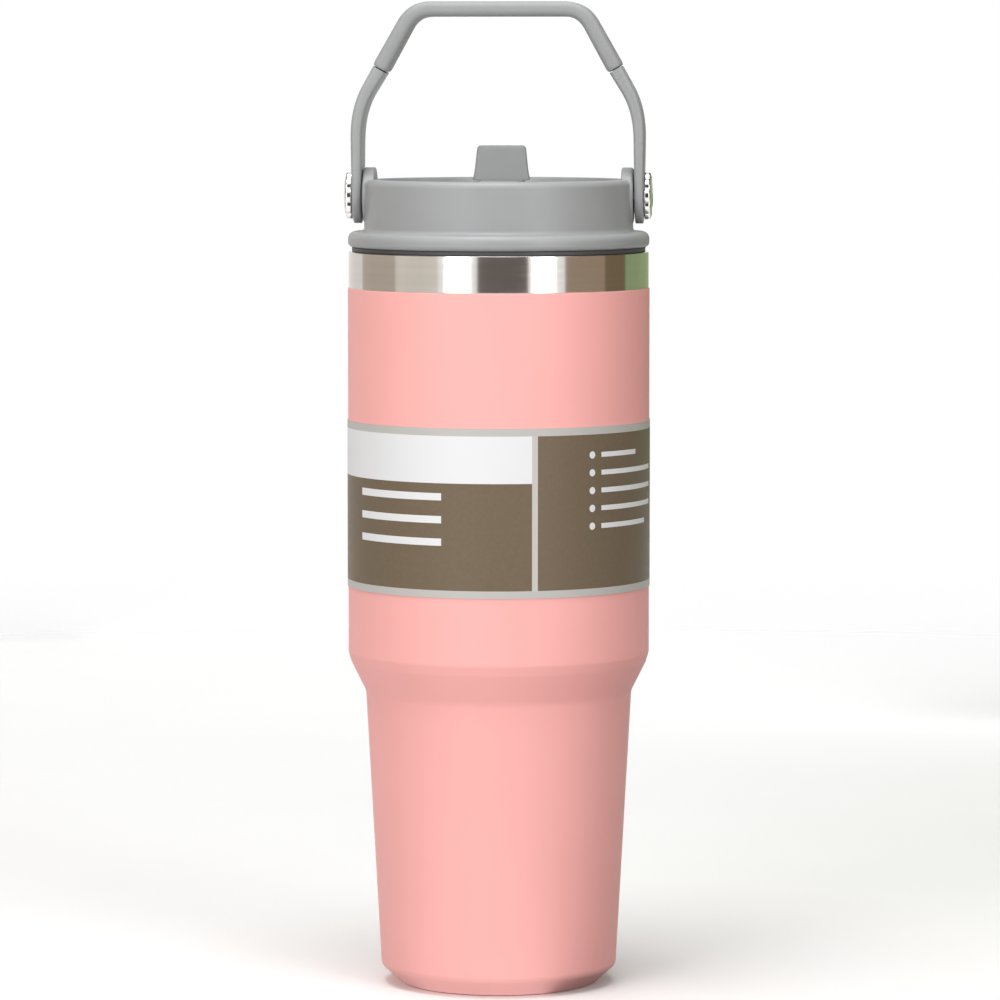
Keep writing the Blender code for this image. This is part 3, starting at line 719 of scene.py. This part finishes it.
def make_screws(polished):
    """Shoulder screws with wide polished caps whose rims are fluted."""
    head_r = SCREW_HIGH.y
    inner, outer = 45.0, SCREW_HIGH.x
    profile = [(0.0, 39.2), (1.7, 39.2, 0.3), (1.7, 41.9), (3.2, 41.9, 0.2), (3.2, inner),
               (head_r, inner, 0.3), (head_r, outer - 0.7, 0.6), (head_r - 1.6, outer - 0.15, 0.6),
               (3.6, outer, 0.3), (3.2, outer - 0.5, 0.2), (0.0, outer - 0.5)]
    for side, word in ((-1, "left"), (1, "right")):
        bm = lathe(rounded(profile, 0.1), 160)
        for vert in bm.verts:
            reach = math.hypot(vert.co.x, vert.co.y)
            if reach > FLUTE_START_R:
                wave = abs(math.sin(FLUTES / 2 * math.atan2(vert.co.y, vert.co.x)))
                share = (reach - FLUTE_START_R) / (head_r - FLUTE_START_R)
                vert.co.xy *= 1.0 - FLUTE_DEPTH * (1.0 - wave) ** 1.5 * share
        screw = on_pivot(bm, side)
        piece(f"screw_{word}", screw, polished, "lid", [f"pivot_screw_{word}"])


# ---------------------------------------------------------------- handle

STRAP_X = 43.4
STRAP_T = 2.8
BEND = (STRAP_X, 270.2)
GRIP_END = (36.2, 282.5)
GRIP_CORNER = (25.9, 301.0)
CORE_START = (37.7, 280.1)
CORE_SIZE = (2.2, 12.0)
TUNNEL_SIZE = (2.8, 12.6)
CORNER_REACH = 3.0
POCKET_R = 5.5


def curve_corners(stations, reaches, steps=10):
    """Replace each inner corner by a quadratic curve that starts its reach away on either side."""
    result = [stations[0]]
    for (before, corner, after), reach in zip(zip(stations, stations[1:], stations[2:]), reaches):
        here = Vector(corner[:2])
        ends = []
        for other in (before, after):
            leg = Vector(other[:2]) - here
            share = min(reach, leg.length / 2) / leg.length
            ends.append((here + leg * share, [c + (o - c) * share for c, o in zip(corner[2:], other[2:])]))
        for k in range(steps + 1):
            t = k / steps
            point = ends[0][0] * (1 - t) ** 2 + here * 2 * t * (1 - t) + ends[1][0] * t ** 2
            size = [a * (1 - t) + b * t for a, b in zip(ends[0][1], ends[1][1])]
            result.append((point.x, point.y, *size))
    return [*result, stations[-1]]


def strap(stations, radius):
    """Sweep a rounded box along (x, z, thickness, depth) stations in the XZ plane."""
    line = [station[:2] for station in stations]
    normals = [Vector(a) - Vector(b) for a, b in zip(offset(line, 1.0), line)]
    rings = []
    for (x, z, thickness, depth), normal in zip(stations, normals):
        corner = min(radius, thickness * 0.42, depth * 0.42)
        rings.append([(x + normal.x * a, b, z + normal.y * a)
                      for a, b in rounded_box(thickness / 2, depth / 2, corner)])
    return loft(rings)


def mirrored(stations):
    return stations + [(-x, z, *rest) for x, z, *rest in reversed(stations)]


def make_handle(plastic, soft):
    depth = HANDLE_HIGH.y * 2
    eye_r = depth / 2
    eye = [(STRAP_X, PIVOT.z - eye_r * math.cos(a), STRAP_T - 0.5 * math.cos(a) ** 6, 2 * eye_r * math.sin(a))
           for a in (math.radians(5 + 85 * k / 14) for k in range(15))]
    arm = curve_corners([eye[-1], (*BEND, 3.6, depth), (*GRIP_END, 4.3, depth)], [9.0])
    half = eye[:-1] + arm
    core = [(*point, *CORE_SIZE) for point in (CORE_START, GRIP_END, GRIP_CORNER)]
    handle = piece("bail", strap(half, 1.3), plastic, "handle", ["handle"])
    boolean(handle, "UNION", strap(curve_corners(mirrored(core), [CORNER_REACH] * 4), 0.5))
    boolean(handle, "UNION", strap([(-x, z, *rest) for x, z, *rest in reversed(half)], 1.3))
    for side in (-1, 1):
        boolean(handle, "DIFFERENCE", rod_x(SHOULDER_BORE_R, side * 40.0, side * 48.0, z=PIVOT.z))
        boolean(handle, "DIFFERENCE", rod_x(POCKET_R, side * 40.0, side * 42.8, z=PIVOT.z))
    handle.data.set_sharp_from_angle(angle=SHARP_ANGLE)
    make_grip(depth, soft)


def make_grip(depth, soft):
    """The soft sleeve over the handle's upper half, with a tunnel for the handle's core."""
    start = Vector(GRIP_END).lerp(Vector(GRIP_CORNER), 0.02)
    second = Vector(GRIP_END).lerp(Vector(GRIP_CORNER), 0.06)
    sleeve = [(*start, 4.5, depth - 0.5), (*second, 5.0, depth), (*GRIP_CORNER, 4.6, depth)]
    grip = piece("grip", strap(curve_corners(mirrored(sleeve), [0.3, 5.5, 5.5, 0.3]), 1.9), soft, "handle",
                 ["handle_grip"])
    below = Vector(GRIP_END).lerp(Vector(GRIP_CORNER), -0.2)
    tunnel = [(*below, *TUNNEL_SIZE), (*GRIP_CORNER, *TUNNEL_SIZE)]
    boolean(grip, "DIFFERENCE", strap(curve_corners(mirrored(tunnel), [CORNER_REACH] * 2), 0.6))
    grip.data.set_sharp_from_angle(angle=SHARP_ANGLE)


# ---------------------------------------------------------------- spout and straw

BARREL_R = 3.4
BARREL_HALF = 7.2
ARM_LENGTH = 28.0
ARM_TIP_HALF = 6.4
ARM_HALF_T = 3.1
NOZZLE_R = 2.7
NOZZLE_END = 35.0
CHANNEL_R = 2.0
TAB_HALF = 8.85
TAB_TOP_HALF = 7.65
TAB_NECK = 2.9
TAB_RISE = 13.85
TAB_CORNER = 1.6


def forwards(sections):
    """Loft (distance from the hinge, half width, half thickness, corner radius) sections to the front."""
    return loft([[(a, SPOUT.y - y, SPOUT.z + b) for a, b in rounded_box(w, t, r)]
                 for y, w, t, r in sections])


def rod_forwards(radius, start, end):
    return loft([[(a, SPOUT.y - y, SPOUT.z + b) for a, b in circle(radius)] for y in (start, end)])


def finger_tab():
    """The upright tab over the hinge: a neck between the lugs, then a face whose top corners are round."""
    neck = BARREL_HALF - 0.15
    sections = [(0.5, neck, 2.1, 0.0), (TAB_NECK, neck, 2.1, 0.0),
                (TAB_NECK + 0.3, TAB_HALF - 0.25, 2.1, 0.05), (TAB_NECK + 0.6, TAB_HALF, 2.1, 0.1),
                (TAB_NECK + 2.0, 8.5, 2.0, 0.3), (TAB_RISE - 7.0, 8.2, 1.85, 0.5)]
    steps = 8
    for k in range(steps + 1):
        a = math.pi / 2 * k / steps
        drop, narrowing = 1 - math.sin(a), 1 - math.cos(a)
        sections.append((TAB_RISE - TAB_CORNER * drop, TAB_TOP_HALF - 0.7 * TAB_CORNER * narrowing,
                         1.45 - 0.5 * narrowing, 1.0 + 0.2 * math.sin(a)))
    return loft([[(a, SPOUT.y + shift + b, SPOUT.z + z) for a, b in rounded_box(w, t, 0.8)]
                 for z, w, t, shift in sections])


def make_spout(plastic, silicone):
    """The hinged arm with its finger tab and nozzle, and the mouthpiece on it."""
    barrel = rounded([(0.0, -BARREL_HALF), (BARREL_R, -BARREL_HALF, 0.5), (BARREL_R, BARREL_HALF, 0.5),
                      (0.0, BARREL_HALF)])
    bm = lathe(barrel, MEDIUM)
    bm.transform(Matrix.Translation(SPOUT) @ Matrix.Rotation(math.pi / 2, 4, "Y"))
    arm = piece("spout_lever", bm, plastic, "spout", ["spout_arm"])
    boolean(arm, "UNION", forwards([(0.0, BARREL_HALF - 0.2, ARM_HALF_T, 1.3),
                                    (ARM_LENGTH - 0.3, ARM_TIP_HALF, ARM_HALF_T, 1.3),
                                    (ARM_LENGTH, ARM_TIP_HALF - 0.3, ARM_HALF_T - 0.3, 1.3)]))
    boolean(arm, "UNION", finger_tab())
    boolean(arm, "UNION", rod_forwards(NOZZLE_R, ARM_LENGTH - 1.0, NOZZLE_END))
    boolean(arm, "DIFFERENCE", rod_forwards(CHANNEL_R, -5.5, NOZZLE_END + 1.0))
    for side in (-1, 1):
        boolean(arm, "DIFFERENCE", rod_x(PIN_BORE_R, side * 4.2, side * 8.2, SPOUT.y, SPOUT.z))
    arm.data.set_sharp_from_angle(angle=SHARP_ANGLE)
    make_mouthpiece(silicone)


def make_mouthpiece(silicone):
    """The soft tip pushed over the arm's nozzle."""
    start = ARM_LENGTH + 0.2
    tip = forwards([(start, ARM_TIP_HALF - 0.3, ARM_HALF_T - 0.3, 1.5),
                    (start + 0.4, ARM_TIP_HALF, ARM_HALF_T, 1.7), (start + 5.0, 6.15, 3.1, 2.1),
                    (35.5, 5.9, 3.05, 2.2), (37.0, 5.6, 2.9, 2.2), (37.7, 5.2, 2.7, 2.1),
                    (38.0, 4.7, 2.4, 1.9)])
    mouth = piece("mouth_tip", tip, silicone, "spout", ["mouthpiece"])
    boolean(mouth, "DIFFERENCE", rod_forwards(NOZZLE_R + 0.2, start - 1.0, NOZZLE_END + 0.2))
    boolean(mouth, "DIFFERENCE", rod_forwards(CHANNEL_R, start, 39.0))
    mouth.data.set_sharp_from_angle(angle=SHARP_ANGLE)


def make_straw(mat):
    low, high = STRAW_LOW.z, STRAW_HIGH.z
    wall = rounded([(2.7, low, 0.4), (4.0, low, 0.5), (4.0, high, 0.4), (2.7, high, 0.3)])
    straw = moved(lathe(wall, MEDIUM), 0.0, SPOUT.y)
    piece("drinking_straw", straw, mat, "straw", ["straw"])


# ---------------------------------------------------------------- CAD pieces that stay

def dress(materials):
    """Give each CAD node that is still shown its own procedural material."""
    for node, mat in materials.items():
        slots = frame["nodes"][node].data.materials
        slots.clear()
        slots.append(mat)


# ---------------------------------------------------------------- studio

CAMERA_AZIMUTH = math.radians(3.5)
CAMERA_DISTANCE = 1.62
CAMERA_HEIGHT = 0.283
CAMERA_TARGET = Vector((0.0004, 0.0, 0.1498))
CAMERA_LENS = 189.2
LIGHT_TARGET = Vector((0.0, 0.0, 0.16))
FLOOR_R = 1.4
FLOOR_COLOR = (0.90, 0.90, 0.90)


def around(azimuth, distance, height):
    """A place at an azimuth in degrees to the right of the camera's side of the object."""
    a = CAMERA_AZIMUTH + math.radians(azimuth)
    return Vector((distance * math.sin(a), -distance * math.cos(a), height))


def make_camera():
    data = bpy.data.cameras.new("camera")
    data.lens = CAMERA_LENS
    data.clip_start = 0.05
    camera = bpy.data.objects.new("camera", data)
    camera.location = around(0.0, CAMERA_DISTANCE, CAMERA_HEIGHT)
    camera.rotation_euler = (CAMERA_TARGET - camera.location).to_track_quat("-Z", "Y").to_euler()
    bpy.context.scene.collection.objects.link(camera)
    bpy.context.scene.camera = camera


def softbox(name, azimuth, distance, height, width, tall, watts):
    """A white area light that faces the middle of the object."""
    data = bpy.data.lights.new(name, "AREA")
    data.shape = "RECTANGLE"
    data.size = width
    data.size_y = tall
    data.energy = watts
    light = bpy.data.objects.new(name, data)
    light.location = around(azimuth, distance, height)
    light.rotation_euler = (LIGHT_TARGET - light.location).to_track_quat("-Z", "Y").to_euler()
    bpy.context.scene.collection.objects.link(light)


def flag(name, azimuths, distance, low, high, color):
    """A curved card, unseen by the camera, that shows in reflections and shades the object."""
    steps = 12
    first, last = azimuths
    bm = bmesh.new()
    rows = []
    for k in range(steps + 1):
        azimuth = first + (last - first) * k / steps
        rows.append([bm.verts.new(around(azimuth, distance, z) / MM) for z in (low, high)])
    for one, two in zip(rows, rows[1:]):
        bm.faces.new((one[0], two[0], two[1], one[1]))
    shader = Shader(f"{name}_card", color, 0.9)
    varied(shader, color, shader.noise(3.0), 0.05)
    obj = finish_mesh(name, bm, shader.material)
    obj.visible_camera = False


def make_floor():
    """A pale paper floor that fades into the white surround away from the object."""
    bm = bmesh.new()
    bmesh.ops.create_circle(bm, cap_ends=True, segments=96, radius=FLOOR_R / MM)
    shader = Shader("floor_paper", FLOOR_COLOR, 0.7, Specular_IOR_Level=0.2)
    varied(shader, FLOOR_COLOR, shader.noise(8.0), 0.01)
    shader.bump(shader.noise(500.0), 0.02, 0.05)
    reach = shader.add("ShaderNodeVectorMath", operation="LENGTH")
    shader.feed(shader.place, reach.inputs[0])
    fade = shader.spread(reach.outputs["Value"], 0.0, 1.0, 0.15 * FLOOR_R, 0.95 * FLOOR_R)
    clear = shader.add("ShaderNodeBsdfTransparent")
    mix = shader.add("ShaderNodeMixShader")
    shader.feed(fade, mix.inputs["Fac"])
    shader.feed(shader.bsdf.outputs["BSDF"], mix.inputs[1])
    shader.feed(clear.outputs["BSDF"], mix.inputs[2])
    shader.feed(mix.outputs["Shader"], shader.tree.nodes["Material Output"].inputs["Surface"])
    floor = finish_mesh("floor", bm, shader.material)
    floor.visible_diffuse = False


def bounce_card(name, azimuths, strength):
    """A sector under the floor that stands in for the soft light the floor sends up to the object."""
    steps = 12
    first, last = azimuths
    bm = bmesh.new()
    rim = [around(first + (last - first) * k / steps, FLOOR_R, 0.0) for k in range(steps + 1)]
    bm.faces.new([bm.verts.new(point / MM) for point in (Vector((0.0, 0.0, 0.0)), *rim)])
    shader = Shader(f"{name}_card", (0.02, 0.02, 0.02), 0.9, Emission_Color=(1.0, 1.0, 1.0, 1.0))
    glow = shader.spread(shader.noise(2.0), 0.97 * strength, 1.03 * strength)
    shader.feed(glow, shader.bsdf.inputs["Emission Strength"])
    card = finish_mesh(name, bm, shader.material)
    card.location.z = -0.002
    card.visible_camera = False
    card.visible_glossy = False


def make_world():
    world = bpy.data.worlds.new("studio")
    world.use_nodes = True
    background = world.node_tree.nodes["Background"]
    background.inputs["Color"].default_value = (1.0, 1.0, 1.0, 1.0)
    background.inputs["Strength"].default_value = 1.0
    bpy.context.scene.world = world


def make_studio():
    scene = bpy.context.scene
    scene.view_settings.view_transform = "Standard"
    make_world()
    make_floor()
    make_camera()
    softbox("key_left", -31.0, 1.1, 0.35, 0.38, 1.3, 4.0)
    softbox("key_right", 34.0, 1.1, 0.35, 0.34, 1.3, 4.5)
    softbox("overhead", -25.0, 0.35, 1.6, 0.9, 0.9, 13.5)
    flag("flag_front", (-16.0, 22.0), 1.35, 0.0, 1.2, (0.07, 0.05, 0.035))
    flag("flag_right", (64.0, 165.0), 0.65, 0.4, 1.5, (0.03, 0.03, 0.025))
    flag("card_brown", (50.0, 86.0), 0.65, 0.09, 0.4, (0.48, 0.36, 0.25))
    flag("card_dark", (86.0, 110.0), 0.65, 0.09, 0.4, (0.22, 0.16, 0.08))
    flag("card_green", (110.0, 165.0), 0.65, 0.09, 0.4, (0.38, 0.50, 0.27))
    flag("card_left_front", (-84.0, -46.0), 1.0, 0.0, 0.5, (0.90, 0.86, 0.79))
    flag("card_left", (-126.0, -84.0), 1.0, 0.0, 0.5, (0.56, 0.50, 0.43))
    flag("card_left_back", (-168.0, -126.0), 1.0, 0.0, 0.5, (0.92, 0.90, 0.88))
    flag("flag_left", (-168.0, -52.0), 1.0, 0.5, 1.5, (0.15, 0.14, 0.13))
    bounce_card("bounce_front", (-50.0, 30.0), 0.78)
    bounce_card("bounce_right", (30.0, 180.0), 0.05)
    bounce_card("bounce_left", (-180.0, -50.0), 0.5)


# ---------------------------------------------------------------- assembly

def main():
    coat = powder_coat_material()
    steel = brushed_steel_material()
    polished = polished_steel_material()
    plastic = moulded_material("grey_plastic", GREY)
    soft = moulded_material("soft_grip", shade(GREY, 0.97), 0.55, 1800.0, 0.16)
    silicone = silicone_material()
    make_vessel(coat, steel)
    make_liner(steel)
    make_label(label_material())
    make_base(steel)
    make_lid(plastic)
    # The plug's near-black material is painted shade for the dark shadow line under the lid's flange
    make_plug(moulded_material("plug_plastic", PLUG_PAINTED_SHADE, 0.5))
    make_seals(silicone)
    make_screws(polished)
    make_handle(plastic, soft)
    make_spout(plastic, silicone)
    make_straw(straw_material())
    brass = metal_material("turned_brass", BRASS, 0.3)
    nylon = moulded_material("nylon", NYLON, 0.5)
    dress({"base_pan": steel, "vacuum_seal": metal_material("solder", SOLDER, 0.5),
           "getter_capsule": metal_material("getter", GETTER, 0.6),
           "port_seal": silicone, "pivot_insert_left": brass, "pivot_insert_right": brass,
           "pivot_washer_left": nylon, "pivot_washer_right": nylon,
           "spout_pin_left": polished, "spout_pin_right": polished})
    make_studio()


main()
